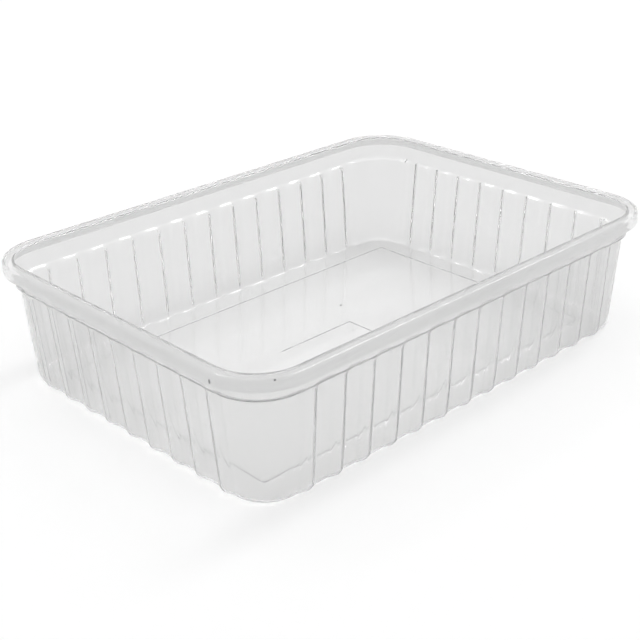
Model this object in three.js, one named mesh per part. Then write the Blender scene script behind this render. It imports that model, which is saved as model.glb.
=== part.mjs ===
// A clear rectangular deli container, moulded in one piece: a rim with a hollow skirt, a plain collar
// under it, drafted walls stiffened by flat-topped outward ribs, a rounded base edge and a floor raised
// off a flat foot band, with a shallow blank rectangle sunk into its underside.
// Millimetres, +X along the length, +Z up, origin at the middle of the base, foot band at z = 0.
import * as THREE from "three";

// Overall sizes
const outerLength = 180;
const outerWidth = 128.4;
const totalHeight = 42;
const rimCornerRadius = 18.5;
const wall = 0.7;

// Rim
const skirtDepth = 4;
const skirtBulge = 0.5; // from the top edge out to the widest point
const skirtTuck = 0.2; // from the widest point in to the lower edge
const collarInset = 3.25; // from the widest point in to the collar's outer face
const mouthEase = 0.3; // chamfer at the mouth's inner edge

// Walls
const shoulderDepth = 8; // from the rim's top down to the shoulder
const shoulderRise = 1; // height of the slanted shoulder
const panelRecess = 1.2; // how deep the panels lie behind the collar
const ribRecess = 0.25; // how deep the ribs' crests lie behind the collar
const longDraft = 0.062; // inward lean per millimetre of depth, on the long walls
const shortDraft = 0.09;
const baseFillet = 2.5;

// Ribs
const longPitch = 11.07;
const shortPitch = 10.62;
const crestHalfWidth = 1.65; // of a rib's flat crest
const ribHalfWidth = 2.5; // out to the feet of its flanks
const archHalfWidth = 3.5; // the same where the panels round off at their ends
const archHeight = 1.5;

// Floor
const footWidth = 6.5; // flat band that the container stands on
const floorRise = 0.6;
const floorStep = 1; // width of the slope between the foot band and the raised floor
const blankLength = 32;
const blankWidth = 16;
const blankDepth = 0.25;

const cornerSteps = 8;
const filletSteps = 3;
const archSteps = 2;
const bulgeSteps = 4;

const wallDepth = totalHeight - shoulderDepth;
const footInner = collarInset + panelRecess + baseFillet + wallDepth * shortDraft + footWidth;
const floorInset = footInner + floorStep;
// The inner shoulder sits higher than the outer one, so that the slant between them keeps the wall's
// thickness. This is the lift for each millimetre of wall.
const shoulderLift = Math.tan(Math.atan2(panelRecess, shoulderRise) / 2);

// Columns run round the container, counterclockwise seen from above. A rib has four: foot, crest, crest,
// foot. On plain rings the four share one point.
function sideColumns(halfStraight, pitch, place, draft) {
  const reach = Math.floor((halfStraight - ribHalfWidth) / pitch);
  const flare = Math.min(archHalfWidth, pitch / 2 - wall, halfStraight - reach * pitch);
  const columns = [];
  for (let k = -reach; k <= reach; k++) {
    for (const [side, crest] of [[-1, 0], [-1, 1], [1, 1], [1, 0]]) {
      columns.push({ centre: k * pitch, side, crest, flare, place, draft });
    }
  }
  return columns;
}

function cornerColumns(signX, signY, startAngle, firstDraft, lastDraft) {
  return Array.from({ length: cornerSteps + 1 }, (_, i) => {
    const turn = i / cornerSteps;
    const angle = startAngle + (turn * Math.PI) / 2;
    return { signX, signY, angle, draft: THREE.MathUtils.lerp(firstDraft, lastDraft, turn) };
  });
}

const halfLength = outerLength / 2;
const halfWidth = outerWidth / 2;
const longSide = (place) => sideColumns(halfLength - rimCornerRadius, longPitch, place, longDraft);
const shortSide = (place) => sideColumns(halfWidth - rimCornerRadius, shortPitch, place, shortDraft);

const columns = [
  ...longSide((u, inset) => [u, inset - halfWidth]),
  ...cornerColumns(1, -1, -Math.PI / 2, longDraft, shortDraft),
  ...shortSide((u, inset) => [halfLength - inset, u]),
  ...cornerColumns(1, 1, 0, shortDraft, longDraft),
  ...longSide((u, inset) => [-u, halfWidth - inset]),
  ...cornerColumns(-1, 1, Math.PI / 2, longDraft, shortDraft),
  ...shortSide((u, inset) => [inset - halfLength, -u]),
  ...cornerColumns(-1, -1, Math.PI, shortDraft, longDraft),
];

// A point of the outline, inset from the rim's widest outline. Corners keep one centre as the inset grows.
function outlinePoint(column, inset, along = 0) {
  if (column.place) return column.place(column.centre + along, inset);
  const radius = Math.max(rimCornerRadius - inset, wall);
  return [
    column.signX * (halfLength - inset - radius) + radius * Math.cos(column.angle),
    column.signY * (halfWidth - inset - radius) + radius * Math.sin(column.angle),
  ];
}

function plainRing(inset, z) {
  return columns.map((column) => new THREE.Vector3(...outlinePoint(column, inset), z));
}

// A ring through ribs and panels, past which the wall's faces lie: skin for the inner face, and more in
// the base fillet. arch runs from 0, where a rib has its plain width, to 1, where it spreads to its flare.
// relief is 1 on the wall and 0 where ribs and panels meet the collar. The inner face of a rib is narrower
// than the outer one, so that its flanks keep the wall's thickness.
function ribbedRing(skin, { past = skin, z, depth, arch = 0, relief = 1 }) {
  const spread = 1 - Math.sqrt(1 - arch * arch);
  return columns.map((column) => {
    const recess = relief * (column.crest ? ribRecess : panelRecess);
    const inset = collarInset + recess + column.draft * depth + past;
    if (!column.place) return new THREE.Vector3(...outlinePoint(column, inset), z);
    const footHalfWidth = THREE.MathUtils.lerp(ribHalfWidth, column.flare, spread);
    const flankSlope = Math.atan2(panelRecess - ribRecess, footHalfWidth - crestHalfWidth);
    const half = (column.crest ? crestHalfWidth : footHalfWidth) - skin * Math.tan(flankSlope / 2);
    return new THREE.Vector3(...outlinePoint(column, inset, column.side * half), z);
  });
}

// The wall from the foot band up to the shoulder: its outer face with a skin of 0, its inner face with a
// skin of wall.
function wallRings(skin) {
  const rings = [];
  const lift = skin * shoulderLift;
  const radius = baseFillet - skin;
  for (let i = 0; i <= filletSteps; i++) {
    const turn = i / filletSteps;
    const angle = (turn * Math.PI) / 2;
    const past = baseFillet - radius * Math.sin(angle);
    const z = baseFillet - radius * Math.cos(angle);
    rings.push(ribbedRing(skin, { past, z, depth: wallDepth - baseFillet, arch: 1 - turn }));
  }
  for (let i = 0; i <= archSteps; i++) {
    const arch = i / archSteps;
    const depth = archHeight * (1 - arch) + shoulderRise;
    rings.push(ribbedRing(skin, { z: wallDepth - depth + lift, depth, arch }));
  }
  rings.push(ribbedRing(skin, { z: wallDepth + lift, depth: 0, arch: 1, relief: 0 }));
  return rings;
}

function floorRings(skin) {
  return [plainRing(floorInset, floorRise + skin), plainRing(footInner, skin)];
}

// The rectangle under the floor is the raised floor's outline drawn smaller, with its corners square.
function blankRing(z) {
  const cornerX = blankLength / 2;
  const cornerY = blankWidth / 2;
  const shrinkX = cornerX / (halfLength - floorInset);
  const shrinkY = cornerY / (halfWidth - floorInset);
  const shrink = new THREE.Vector3(shrinkX, shrinkY, 1);
  return columns.map((column) =>
    column.place
      ? new THREE.Vector3(...outlinePoint(column, floorInset), z).multiply(shrink)
      : new THREE.Vector3(column.signX * cornerX, column.signY * cornerY, z),
  );
}

function blankRings() {
  return [blankRing(floorRise + blankDepth), blankRing(floorRise)];
}

function rimRings() {
  const skirtFoot = totalHeight - skirtDepth;
  const rings = [
    plainRing(collarInset, totalHeight - wall),
    plainRing(skirtBulge + wall, totalHeight - wall),
    plainRing(skirtTuck + wall, skirtFoot),
  ];
  for (let i = 0; i <= bulgeSteps; i++) {
    const rise = i / bulgeSteps;
    const swell = Math.sin(rise * Math.PI);
    const chord = THREE.MathUtils.lerp(skirtTuck, skirtBulge, rise);
    rings.push(plainRing(chord * (1 - swell), skirtFoot + rise * skirtDepth));
  }
  const mouthInset = collarInset + wall;
  rings.push(plainRing(mouthInset - mouthEase, totalHeight));
  rings.push(plainRing(mouthInset, totalHeight - mouthEase));
  return rings;
}

function middleOf(ring) {
  return new THREE.Vector3(0, 0, ring[0].z);
}

// Joins rings into one closed surface. Points that coincide are stored once, and faces that collapse
// are left out.
function closedShell(rings) {
  const positions = [];
  const index = [];
  const seen = new Map();
  const idOf = (point) => {
    const key = point.toArray().map((value) => value.toFixed(4)).join(" ");
    if (!seen.has(key)) {
      seen.set(key, positions.length / 3);
      positions.push(...point.toArray());
    }
    return seen.get(key);
  };
  const addFace = (...corners) => {
    const ids = corners.map(idOf);
    if (new Set(ids).size === 3) index.push(...ids);
  };
  const first = rings[0];
  const last = rings[rings.length - 1];
  for (let i = 0; i < columns.length; i++) {
    const j = (i + 1) % columns.length;
    addFace(middleOf(first), first[j], first[i]);
    for (let r = 0; r + 1 < rings.length; r++) {
      const [lower, upper] = [rings[r], rings[r + 1]];
      addFace(lower[i], lower[j], upper[j]);
      addFace(lower[i], upper[j], upper[i]);
    }
    addFace(middleOf(last), last[i], last[j]);
  }
  const geometry = new THREE.BufferGeometry();
  geometry.setAttribute("position", new THREE.Float32BufferAttribute(positions, 3));
  geometry.setIndex(index);
  geometry.computeVertexNormals();
  return geometry;
}

const clearPlastic = new THREE.MeshStandardMaterial({
  color: 0xdcdedf,
  roughness: 0.12,
  metalness: 0,
  transparent: true,
  opacity: 0.4,
});

const inside = [...floorRings(wall), ...wallRings(wall)].reverse();
const container = new THREE.Mesh(
  closedShell([...blankRings(), ...floorRings(0), ...wallRings(0), ...rimRings(), ...inside]),
  clearPlastic,
);
container.name = "container";

const part = new THREE.Group();
part.add(container);

export default part;
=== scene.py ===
"""A clear rectangular deli container: one fine moulded shell with a few specks of dust, on a white floor
in soft light. Metres, +Z up."""

import math

import bpy
import numpy as np
from mathutils import Matrix, Vector


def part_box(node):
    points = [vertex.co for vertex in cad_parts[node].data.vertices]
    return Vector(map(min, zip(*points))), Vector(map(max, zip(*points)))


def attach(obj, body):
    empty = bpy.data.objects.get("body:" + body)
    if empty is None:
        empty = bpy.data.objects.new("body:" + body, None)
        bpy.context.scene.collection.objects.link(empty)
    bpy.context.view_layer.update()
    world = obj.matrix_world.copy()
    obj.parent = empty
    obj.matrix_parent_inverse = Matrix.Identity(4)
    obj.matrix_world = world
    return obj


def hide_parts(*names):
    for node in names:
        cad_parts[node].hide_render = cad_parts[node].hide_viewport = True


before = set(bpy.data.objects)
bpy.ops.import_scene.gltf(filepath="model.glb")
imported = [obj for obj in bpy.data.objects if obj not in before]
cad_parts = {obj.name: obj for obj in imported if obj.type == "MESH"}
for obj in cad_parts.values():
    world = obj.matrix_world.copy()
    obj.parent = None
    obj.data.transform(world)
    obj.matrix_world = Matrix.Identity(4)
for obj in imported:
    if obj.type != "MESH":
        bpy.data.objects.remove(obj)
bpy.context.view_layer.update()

MM = 0.001
NODE = "container"
node_low, node_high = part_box(NODE)

# Overall sizes, from the frame
HALF_LENGTH = (node_high.x - node_low.x) / 2
HALF_WIDTH = (node_high.y - node_low.y) / 2
TOP = node_high.z

# Sizes of the moulding, as in the CAD model
WALL = 0.7 * MM
RIM_CORNER = 18.5 * MM
SKIRT_DEPTH = 4.0 * MM
SKIRT_BULGE = 0.5 * MM
SKIRT_TUCK = 0.2 * MM
COLLAR_INSET = 3.25 * MM
SHOULDER_DEPTH = 8.0 * MM
SHOULDER_RISE = 1.0 * MM
PANEL_RECESS = 1.2 * MM
RIB_RECESS = 0.25 * MM
LONG_DRAFT = 0.062
SHORT_DRAFT = 0.09
BASE_FILLET = 2.5 * MM
LONG_PITCH = 11.07 * MM
SHORT_PITCH = 10.62 * MM
CREST_HALF_WIDTH = 1.65 * MM
RIB_HALF_WIDTH = 2.5 * MM
ARCH_HALF_WIDTH = 3.5 * MM
ARCH_HEIGHT = 1.5 * MM
FOOT_WIDTH = 6.5 * MM
FLOOR_RISE = 0.6 * MM
FLOOR_STEP = 1.0 * MM
BLANK_HALF_LENGTH = 16.0 * MM
BLANK_HALF_WIDTH = 8.0 * MM
BLANK_DEPTH = 0.25 * MM

# Softening of the moulding's edges. A rib's flank rounds off past its crest's edge and past its foot by
# FLANK_ROUND of its width, but at the crest by no more than CREST_REACH of the crest's half width.
FLANK_ROUND = 0.8
CREST_REACH = 0.9
BASE_CREST = 0.8 * MM  # a crest's half width where it runs out at the base
COLLAR_START = 0.5 * MM  # from the shoulder up to the collar's lowest ring, outside
MOUTH_END = 1.2 * MM  # the same inside
EDGE_ROUND = 0.35 * MM  # at the mouth and in the channel under the rim
LIP_ROUND = WALL * 0.45  # at the skirt's lower edge
SKIRT_ROUND = 2.0 * MM  # where the skirt swells
SWELL_LOW, SWELL_HIGH = 0.62, 0.38  # its widest stretch, as shares of its depth from the top down
RIM_ROUND = 0.9 * MM  # at the rim's outer top edge
RIM_FLAT = 1.5 * MM  # from the skirt's top in to where the rim's top is flat
RIM_FLAT_ROUND = 0.1 * MM
CUT_LIMIT = 0.49  # the most of a stretch between two corners that one corner's rounding takes
SOFT_EDGE = 0.2 * MM  # where the floor's step starts and ends
LEVEL_FLOOR = 0.25 * MM  # level stretch modelled inside the step
LEVEL_FOOT = 1.0 * MM  # level stretch modelled outside it
FLOOR_NARROW = 0.5  # share of a rib's width between its columns on the floor, clear of the tight corners
BLANK_EDGE = 0.12 * MM  # half the width of the slope round the blank rectangle
BLANK_LEVEL = 3  # level stretch modelled on each side of that slope, in units of BLANK_EDGE
BLANK_BEND = 0.3  # share of the blank's depth at which its slope bends

# Dust specks, two in the rim and two on the floor: middle and half sizes, in millimetres
SPECKS = [
    ((-89.5, -47.3, 39.3), (0.15, 0.4, 0.7)),
    ((-80.2, -61.6, 41.45), (0.35, 0.35, 0.2)),
    ((23.1, 19.4, 1.34), (0.5, 0.45, 0.1)),
    ((11.7, 2.1, 1.34), (0.3, 0.25, 0.06)),
]
SPECK_SIDES = 8  # round each ball, and from its top to its bottom

# Materials. PLASTIC_TINT is the plastic's colour, and LAMP_TINT is what it lets through of the lamps.
PLASTIC_TINT = 0.89
PLASTIC_ROUGHNESS = 0.09
PLASTIC_IOR = 1.5
CLEARNESS = 0.88
LAMP_TINT = 0.93
LAMP_SLANT = 0.35  # how soon a face that slants to a lamp's light holds it back
WAVE_SCALE = 90
WAVE_DETAIL = 2
WAVE_STRENGTH = 0.15
WAVE_HEIGHT = 0.4 * MM
DUST_GREY = 0.12
PAPER_WHITE = 0.98
PAPER_ROUGHNESS = 0.9
PLAIN_WHITE_SHARE = 0.4  # share of plain white in what is seen of the floor

# Room and lamps. Strengths and radiances are in units where 1 is white.
FLOOR_HALF = 2.5
FLOOR_GAP = 0.02 * MM
ROOM_LIGHT = 0.65
ROOM_SEEN = 1.0
ORIGIN = (0, 0, 0)
# name, place, width, depth, radiance
SOFTBOXES = [
    ("overhead", (0, 0, 2.0), 3.4, 2.3, 0.5),
    ("strip_right", (1.5, 0, 1.99), 0.3, 1.2, 10),
    ("strip_back", (0, 1.3, 1.99), 1.0, 0.25, 6),
]
BOUNCES = 24  # enough for light to find its way through four thin walls

WALL_DEPTH = TOP - SHOULDER_DEPTH
FOOT_INNER = COLLAR_INSET + PANEL_RECESS + BASE_FILLET + WALL_DEPTH * SHORT_DRAFT + FOOT_WIDTH
FLOOR_INSET = FOOT_INNER + FLOOR_STEP
SHOULDER_LIFT = math.tan(math.atan2(PANEL_RECESS, SHOULDER_RISE) / 2)

# Steps of the fine mesh
CORNER_STEPS = 16
FILLET_STEPS = 6
ARCH_STEPS = 4
SHOULDER_STEPS = 6
PLAIN_WALL_STEPS = 3
FLANK_STEPS = 8
ROUND_STEPS = 2


def rib_height(across):
    """A rib's height, 0 to 1, at a place across its flank, where 0 is the crest's edge and 1 the foot."""
    share = np.clip((across + FLANK_ROUND) / (1 + 2 * FLANK_ROUND), 0, 1)
    return (1 + np.cos(math.pi * share)) / 2


class Columns:
    """The stations round the container, counterclockwise from above, as arrays.

    A rib's stations hold its centre along the wall, the side of it (-1, 0 or 1) and the place across its
    flank. facing is a wall's outward direction, or the signs of a corner's two coordinates.
    """

    RIB, PANEL, CORNER = 0, 1, 2

    def __init__(self):
        self.rows = []
        long_straight = HALF_LENGTH - RIM_CORNER
        short_straight = HALF_WIDTH - RIM_CORNER
        quarter = math.pi / 2
        self.side(long_straight, LONG_PITCH, (0, -1), LONG_DRAFT)
        self.corner(1, -1, -quarter, LONG_DRAFT, SHORT_DRAFT)
        self.side(short_straight, SHORT_PITCH, (1, 0), SHORT_DRAFT)
        self.corner(1, 1, 0, SHORT_DRAFT, LONG_DRAFT)
        self.side(long_straight, LONG_PITCH, (0, 1), LONG_DRAFT)
        self.corner(-1, 1, quarter, LONG_DRAFT, SHORT_DRAFT)
        self.side(short_straight, SHORT_PITCH, (-1, 0), SHORT_DRAFT)
        self.corner(-1, -1, 2 * quarter, SHORT_DRAFT, LONG_DRAFT)
        rows = np.array(self.rows)
        self.kind, self.centre, self.side_sign, self.across = rows[:, :4].T
        self.flare, self.draft, self.angle = rows[:, 4:7].T
        self.facing = rows[:, 7:9]
        self.height = np.where(self.kind == self.RIB, rib_height(self.across), 0.0)

    def side(self, straight, pitch, facing, draft):
        count = math.floor((straight - RIB_HALF_WIDTH) / pitch)
        corner_room = FLANK_ROUND * (RIB_HALF_WIDTH - CREST_HALF_WIDTH)
        flare = min(ARCH_HALF_WIDTH, straight - count * pitch - corner_room)
        spots = np.linspace(-FLANK_ROUND, 1 + FLANK_ROUND, FLANK_STEPS + 1)
        turn = math.atan2(facing[1], facing[0])
        for k in range(-count, count + 1):
            stations = [(-1, spot) for spot in spots[::-1]] + [(0, -1)] + [(1, spot) for spot in spots]
            for side_sign, across in stations:
                self.rows.append([self.RIB, k * pitch, side_sign, across, flare, draft, turn, *facing])
            if k < count:
                self.rows.append([self.PANEL, (k + 0.5) * pitch, 0, 0, flare, draft, turn, *facing])

    def corner(self, sign_x, sign_y, start, first_draft, last_draft):
        for i in range(CORNER_STEPS + 1):
            turn = i / CORNER_STEPS
            angle = start + turn * math.pi / 2
            draft = first_draft + (last_draft - first_draft) * turn
            self.rows.append([self.CORNER, 0, 0, 0, 0, draft, angle, sign_x, sign_y])

    def place(self, inset, crest=CREST_HALF_WIDTH, foot=RIB_HALF_WIDTH):
        """Points of the outline at an inset from the rim's widest outline, with a rib's half widths."""
        inset = inset + np.zeros(len(self.kind))
        past_foot = np.maximum(self.across - 1, 0) * (RIB_HALF_WIDTH - CREST_HALF_WIDTH)
        flank = np.clip(self.across, 0, 1) * (foot - crest)
        # the crest's own rounding stops short of the rib's middle
        on_crest = np.minimum(self.across, 0) * np.minimum(foot - crest, CREST_REACH * crest / FLANK_ROUND)
        from_centre = crest + on_crest + flank + past_foot
        along = self.centre + self.side_sign * from_centre
        fx, fy = self.facing.T
        straight = np.stack(
            [
                fx * (HALF_LENGTH - inset) - fy * along,
                fy * (HALF_WIDTH - inset) + fx * along,
            ],
            axis=1,
        )
        radius = np.maximum(RIM_CORNER - inset, WALL)
        round_corner = np.stack(
            [
                fx * (HALF_LENGTH - inset - radius) + radius * np.cos(self.angle),
                fy * (HALF_WIDTH - inset - radius) + radius * np.sin(self.angle),
            ],
            axis=1,
        )
        return np.where((self.kind == self.CORNER)[:, None], round_corner, straight)


def at_height(points, z):
    return np.column_stack([points, z + np.zeros(len(points))])


def plain_ring(columns, inset, z, narrow=1.0):
    """A ring with no ribs. narrow is below 1 where a rib's columns stand closer, clear of tight corners."""
    return at_height(columns.place(inset, CREST_HALF_WIDTH * narrow, RIB_HALF_WIDTH * narrow), z)


def ribbed_ring(columns, skin, z, depth, past=None, arch=0.0, base=0.0, relief=1.0):
    """A ring across panels and ribs, its faces lying past the outer ones by skin, or by past in the fillet.

    arch runs from 0, plain ribs, to 1, ribs spread to their flare. base runs from 0 to 1 where the crests
    narrow at the base. relief is 1 on the wall and falls to 0 at the collar. The inner face of a rib is
    narrower than the outer one, so that its flanks keep the wall's thickness.
    """
    past = skin if past is None else past
    spread = 1 - math.sqrt(max(0.0, 1 - arch * arch))
    foot = RIB_HALF_WIDTH + (columns.flare - RIB_HALF_WIDTH) * spread
    crest = CREST_HALF_WIDTH + (BASE_CREST - CREST_HALF_WIDTH) * base
    tuck = skin * np.tan(np.arctan2(PANEL_RECESS - RIB_RECESS, np.maximum(foot - crest, WALL)) / 2)
    recess = PANEL_RECESS + (RIB_RECESS - PANEL_RECESS) * columns.height
    inset = COLLAR_INSET + relief * (recess + columns.draft * depth) + past
    return at_height(columns.place(inset, crest - tuck, foot - tuck), z)


def wall_rings(columns, skin):
    """The wall from the foot band up to the collar: outer face with skin 0, inner face with skin WALL."""
    rings = []
    radius = BASE_FILLET - skin
    fillet_depth = WALL_DEPTH - BASE_FILLET
    for i in range(FILLET_STEPS + 1):
        turn = i / FILLET_STEPS
        angle = turn * math.pi / 2
        past = BASE_FILLET - radius * math.sin(angle)
        z = BASE_FILLET - radius * math.cos(angle)
        rings.append(ribbed_ring(columns, skin, z, fillet_depth, past, 1 - turn, math.cos(angle)))
    arch_start = ARCH_HEIGHT + SHOULDER_RISE
    for i in range(1, PLAIN_WALL_STEPS):
        depth = fillet_depth + (arch_start - fillet_depth) * i / PLAIN_WALL_STEPS
        rings.append(ribbed_ring(columns, skin, WALL_DEPTH - depth, depth))
    lift = skin * SHOULDER_LIFT
    for i in range(ARCH_STEPS + 1):
        arch = math.sin(i / ARCH_STEPS * math.pi / 2)
        depth = ARCH_HEIGHT * (1 - arch) + SHOULDER_RISE
        rings.append(ribbed_ring(columns, skin, WALL_DEPTH - depth + lift, depth, arch=arch))
    for i in range(1, SHOULDER_STEPS + 1):
        rise = i / SHOULDER_STEPS
        relief = 1 - rise * rise * (3 - 2 * rise)
        depth = SHOULDER_RISE * (1 - rise)
        rings.append(ribbed_ring(columns, skin, WALL_DEPTH - depth + lift, depth, arch=1, relief=relief))
    return rings


def rounded(corners, steps=ROUND_STEPS):
    """Section points (inset, z) along a path of corners (inset, z, radius), each rounded with that radius."""
    points = [corners[0][:2]]
    for before, here, after in zip(corners, corners[1:], corners[2:]):
        corner = Vector(here[:2])
        back = Vector(before[:2]) - corner
        ahead = Vector(after[:2]) - corner
        half = back.angle(ahead) / 2
        cut = min(here[2] / math.tan(half), CUT_LIMIT * back.length, CUT_LIMIT * ahead.length)
        start = corner + back.normalized() * cut
        end = corner + ahead.normalized() * cut
        for i in range(steps + 1):
            t = i / steps
            # a quadratic curve is close enough to an arc at this size
            points.append(tuple(start * (1 - t) ** 2 + corner * 2 * t * (1 - t) + end * t * t))
    points.append(corners[-1][:2])
    return points


def rim_rings(columns):
    """Outer collar, channel under the rim, skirt, rim top and mouth, down to the inner collar."""
    foot = TOP - SKIRT_DEPTH
    mouth = COLLAR_INSET + WALL
    section = rounded(
        [
            (COLLAR_INSET, WALL_DEPTH + COLLAR_START, 0),
            (COLLAR_INSET, TOP - WALL, EDGE_ROUND),
            (SKIRT_BULGE + WALL, TOP - WALL, EDGE_ROUND),
            (WALL, TOP - SKIRT_DEPTH / 2, SKIRT_ROUND),
            (SKIRT_TUCK + WALL, foot, LIP_ROUND),
            (SKIRT_TUCK, foot, LIP_ROUND),
            (0, TOP - SKIRT_DEPTH * SWELL_LOW, SKIRT_ROUND),
            (0, TOP - SKIRT_DEPTH * SWELL_HIGH, SKIRT_ROUND),
            (SKIRT_BULGE / 2, TOP, RIM_ROUND),
            (SKIRT_BULGE + RIM_FLAT, TOP, RIM_FLAT_ROUND),
            (mouth, TOP, EDGE_ROUND),
            (mouth, WALL_DEPTH + MOUTH_END, 0),
        ]
    )
    return [plain_ring(columns, inset, z) for inset, z in section]


def floor_rings(columns, skin):
    """From the raised floor's edge out to the foot band: underside with skin 0, inside with skin WALL."""
    section = rounded(
        [
            (FLOOR_INSET + LEVEL_FLOOR, FLOOR_RISE + skin, 0),
            (FLOOR_INSET, FLOOR_RISE + skin, SOFT_EDGE),
            (FOOT_INNER, skin, SOFT_EDGE),
            (FOOT_INNER - LEVEL_FOOT, skin, 0),
        ]
    )
    return [plain_ring(columns, inset, z, FLOOR_NARROW) for inset, z in section]


def blank_rings(columns):
    """The rectangle sunk into the underside: the raised floor's outline drawn smaller."""
    outline = columns.place(FLOOR_INSET)
    half_size = np.array([BLANK_HALF_LENGTH, BLANK_HALF_WIDTH])
    full_size = np.array([HALF_LENGTH - FLOOR_INSET, HALF_WIDTH - FLOOR_INSET])
    deep = FLOOR_RISE + BLANK_DEPTH
    edge = BLANK_EDGE
    level = BLANK_LEVEL * edge
    bend = BLANK_DEPTH * BLANK_BEND
    slope = [(-level, deep), (-edge, deep), (-edge / 2, deep - bend)]
    slope += [(edge / 2, FLOOR_RISE + bend), (edge, FLOOR_RISE), (level, FLOOR_RISE)]
    return [at_height(outline * (half_size + grow) / full_size, z) for grow, z in slope]


def shell_mesh(name, rings):
    """One closed surface through the rings, capped at both ends by a fan."""
    count = len(rings[0])
    first_middle = (0, 0, rings[0][0][2])
    last_middle = (0, 0, rings[-1][0][2])
    vertices = np.vstack(rings + [[first_middle], [last_middle]])
    bottom = len(vertices) - 2
    top = len(vertices) - 1
    last = (len(rings) - 1) * count
    faces = []
    for i in range(count):
        j = (i + 1) % count
        faces.append((bottom, j, i))
        for r in range(len(rings) - 1):
            a = r * count
            faces.append((a + i, a + j, a + count + j, a + count + i))
        faces.append((top, last + i, last + j))
    mesh = bpy.data.meshes.new(name)
    mesh.from_pydata(vertices.tolist(), [], faces)
    mesh.validate()
    mesh.polygons.foreach_set("use_smooth", [True] * len(mesh.polygons))
    mesh.update()
    return mesh


def container_piece():
    columns = Columns()
    inside = (floor_rings(columns, WALL) + wall_rings(columns, WALL))[::-1]
    outside = blank_rings(columns) + floor_rings(columns, 0) + wall_rings(columns, 0)
    mesh = shell_mesh("container_shell", outside + rim_rings(columns) + inside)
    piece = bpy.data.objects.new("container_shell", mesh)
    bpy.context.scene.collection.objects.link(piece)
    return piece


def flattened_ball(middle, half):
    """Vertices and faces of a ball at middle with three half sizes, its faces numbered from 0."""

    def point(x, y, z):
        return [(m + h * way) * MM for m, h, way in zip(middle, half, (x, y, z))]

    sides = SPECK_SIDES
    vertices = []
    for i in range(1, sides):
        polar = math.pi * i / sides
        for j in range(sides):
            turn = 2 * math.pi * j / sides
            x = math.sin(polar) * math.cos(turn)
            y = math.sin(polar) * math.sin(turn)
            vertices.append(point(x, y, math.cos(polar)))
    top, bottom = len(vertices), len(vertices) + 1
    vertices += [point(0, 0, 1), point(0, 0, -1)]
    last = (sides - 2) * sides
    faces = []
    for j in range(sides):
        k = (j + 1) % sides
        faces.append((top, j, k))
        for a in range(0, last, sides):
            faces.append((a + j, a + sides + j, a + sides + k, a + k))
        faces.append((bottom, last + k, last + j))
    return vertices, faces


def specks_piece():
    """Small dark grains of dust, as flattened balls."""
    vertices, faces = [], []
    for middle, half in SPECKS:
        first = len(vertices)
        ball_vertices, ball_faces = flattened_ball(middle, half)
        vertices += ball_vertices
        faces += [tuple(first + corner for corner in face) for face in ball_faces]
    mesh = bpy.data.meshes.new("dust_specks")
    mesh.from_pydata(vertices, [], faces)
    mesh.polygons.foreach_set("use_smooth", [True] * len(mesh.polygons))
    mesh.materials.append(dust())
    piece = bpy.data.objects.new("dust_specks", mesh)
    bpy.context.scene.collection.objects.link(piece)
    return piece


def dust():
    material = bpy.data.materials.new("dust")
    material.use_nodes = True
    shader = material.node_tree.nodes["Principled BSDF"]
    shader.inputs["Base Color"].default_value = (*[DUST_GREY] * 3, 1)
    return material


def clear_plastic():
    """Clear plastic, slightly grey and hazy, with a faint flow waviness. It lets the lamps through."""
    material = bpy.data.materials.new("clear_plastic")
    material.use_nodes = True
    nodes, links = material.node_tree.nodes, material.node_tree.links
    shader = nodes["Principled BSDF"]
    shader.inputs["Base Color"].default_value = (*[PLASTIC_TINT] * 3, 1)
    shader.inputs["Metallic"].default_value = 0
    shader.inputs["IOR"].default_value = PLASTIC_IOR
    shader.inputs["Transmission Weight"].default_value = CLEARNESS
    shader.inputs["Roughness"].default_value = PLASTIC_ROUGHNESS
    place = nodes.new("ShaderNodeTexCoord")
    wave = nodes.new("ShaderNodeTexNoise")
    wave.inputs["Scale"].default_value = WAVE_SCALE
    wave.inputs["Detail"].default_value = WAVE_DETAIL
    links.new(place.outputs["Object"], wave.inputs["Vector"])
    bump = nodes.new("ShaderNodeBump")
    bump.inputs["Strength"].default_value = WAVE_STRENGTH
    bump.inputs["Distance"].default_value = WAVE_HEIGHT
    links.new(wave.outputs["Fac"], bump.inputs["Height"])
    links.new(bump.outputs["Normal"], shader.inputs["Normal"])
    # lamps reach through a face that they meet head on, and less through one along their light
    slant = nodes.new("ShaderNodeLayerWeight")
    slant.inputs["Blend"].default_value = LAMP_SLANT
    passed = nodes.new("ShaderNodeMapRange")
    passed.inputs["To Min"].default_value = LAMP_TINT
    passed.inputs["To Max"].default_value = 0.0
    links.new(slant.outputs["Facing"], passed.inputs["Value"])
    lamp_light = nodes.new("ShaderNodeBsdfTransparent")
    links.new(passed.outputs["Result"], lamp_light.inputs["Color"])
    ray = nodes.new("ShaderNodeLightPath")
    mix = nodes.new("ShaderNodeMixShader")
    links.new(ray.outputs["Is Shadow Ray"], mix.inputs[0])
    links.new(shader.outputs[0], mix.inputs[1])
    links.new(lamp_light.outputs[0], mix.inputs[2])
    links.new(mix.outputs[0], nodes["Material Output"].inputs["Surface"])
    return material


def add_floor():
    mesh = bpy.data.meshes.new("floor")
    corners = [(x * FLOOR_HALF, y * FLOOR_HALF, 0) for x, y in ((-1, -1), (1, -1), (1, 1), (-1, 1))]
    mesh.from_pydata(corners, [], [(0, 1, 2, 3)])
    floor = bpy.data.objects.new("floor", mesh)
    bpy.context.scene.collection.objects.link(floor)
    mesh.materials.append(floor_white())
    floor.location.z = node_low.z - FLOOR_GAP


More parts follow.
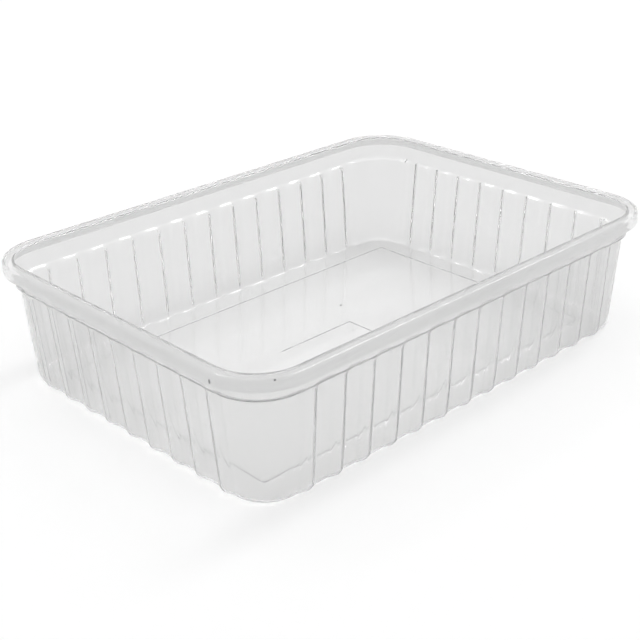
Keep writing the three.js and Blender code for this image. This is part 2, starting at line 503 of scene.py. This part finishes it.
def floor_white():
    """White paper that takes the shadow. What is seen of it, also through plastic, is part plain white."""
    material = bpy.data.materials.new("floor_white")
    material.use_nodes = True
    nodes, links = material.node_tree.nodes, material.node_tree.links
    paper = nodes["Principled BSDF"]
    paper.inputs["Base Color"].default_value = (*[PAPER_WHITE] * 3, 1)
    paper.inputs["Roughness"].default_value = PAPER_ROUGHNESS
    paper.inputs["Specular IOR Level"].default_value = 0
    plain = nodes.new("ShaderNodeEmission")
    plain.inputs["Strength"].default_value = 1.0
    share = nodes.new("ShaderNodeMath")
    share.operation = "MULTIPLY"
    share.inputs[1].default_value = PLAIN_WHITE_SHARE
    links.new(seen_directly(nodes, links), share.inputs[0])
    mix = nodes.new("ShaderNodeMixShader")
    links.new(share.outputs[0], mix.inputs[0])
    links.new(paper.outputs[0], mix.inputs[1])
    links.new(plain.outputs[0], mix.inputs[2])
    links.new(mix.outputs[0], nodes["Material Output"].inputs["Surface"])
    return material


def seen_directly(nodes, links):
    """1 for what the camera sees, also in and through the plastic, and 0 for what lights a surface."""
    ray = nodes.new("ShaderNodeLightPath")
    seen = ray.outputs["Is Camera Ray"]
    for name in ("Is Glossy Ray", "Is Transmission Ray"):
        either = nodes.new("ShaderNodeMath")
        either.operation = "MAXIMUM"
        links.new(seen, either.inputs[0])
        links.new(ray.outputs[name], either.inputs[1])
        seen = either.outputs[0]
    return seen


def add_world():
    """A room that lights at one level and is seen as plain white."""
    world = bpy.data.worlds.new("room")
    world.use_nodes = True
    nodes, links = world.node_tree.nodes, world.node_tree.links
    level = nodes.new("ShaderNodeMapRange")
    level.inputs["To Min"].default_value = ROOM_LIGHT
    level.inputs["To Max"].default_value = ROOM_SEEN
    links.new(seen_directly(nodes, links), level.inputs["Value"])
    background = nodes["Background"]
    background.inputs["Color"].default_value = (1, 1, 1, 1)
    links.new(level.outputs["Result"], background.inputs["Strength"])
    bpy.context.scene.world = world


def add_softbox(name, place, width, depth, radiance):
    """A rectangular light, aimed at the container. Its power gives the stated radiance."""
    lamp = bpy.data.lights.new(name, "AREA")
    lamp.shape = "RECTANGLE"
    lamp.size = width
    lamp.size_y = depth
    lamp.energy = radiance * math.pi * width * depth
    box = bpy.data.objects.new(name, lamp)
    box.location = place
    box.rotation_euler = (Vector(ORIGIN) - Vector(place)).to_track_quat("-Z", "Y").to_euler()
    bpy.context.scene.collection.objects.link(box)


# Camera, from the outline of the rim in the photograph: its frame is 640 pixels wide
FRAME_PIXELS = 640
FOCAL_PIXELS = 1260.6
SENSOR_MM = 36
AZIMUTH = math.radians(-43.56)
ELEVATION = math.radians(25.55)
ROLL = math.radians(-1.123)
DISTANCE = 403.7 * MM
ASIDE = -3.58 * MM
ABOVE = -28.98 * MM
CLIP_START = 0.01


def add_camera():
    back = Vector(
        (
            math.sin(AZIMUTH) * math.cos(ELEVATION),
            -math.cos(AZIMUTH) * math.cos(ELEVATION),
            math.sin(ELEVATION),
        )
    )
    level = Vector((math.cos(AZIMUTH), math.sin(AZIMUTH), 0))
    upright = back.cross(level)
    right = level * math.cos(ROLL) + upright * math.sin(ROLL)
    up = upright * math.cos(ROLL) - level * math.sin(ROLL)
    camera_data = bpy.data.cameras.new("camera")
    camera_data.sensor_width = SENSOR_MM
    camera_data.lens = FOCAL_PIXELS / FRAME_PIXELS * SENSOR_MM
    camera_data.clip_start = CLIP_START
    camera = bpy.data.objects.new("camera", camera_data)
    place = Vector((0, 0, TOP)) + right * ASIDE + up * ABOVE + back * DISTANCE
    turn = Matrix((right, up, back)).transposed().to_4x4()
    camera.matrix_world = Matrix.Translation(place) @ turn
    bpy.context.scene.collection.objects.link(camera)
    bpy.context.scene.camera = camera


add_camera()
add_floor()
add_world()
for name, place, width, depth, radiance in SOFTBOXES:
    add_softbox(name, place, width, depth, radiance)

shell = container_piece()
shell.data.materials.append(clear_plastic())
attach(shell, "root")
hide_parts(NODE)
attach(specks_piece(), "root")

cycles = bpy.context.scene.cycles
cycles.max_bounces = BOUNCES
cycles.glossy_bounces = BOUNCES
cycles.transmission_bounces = BOUNCES

view = bpy.context.scene.view_settings
view.view_transform = "Standard"
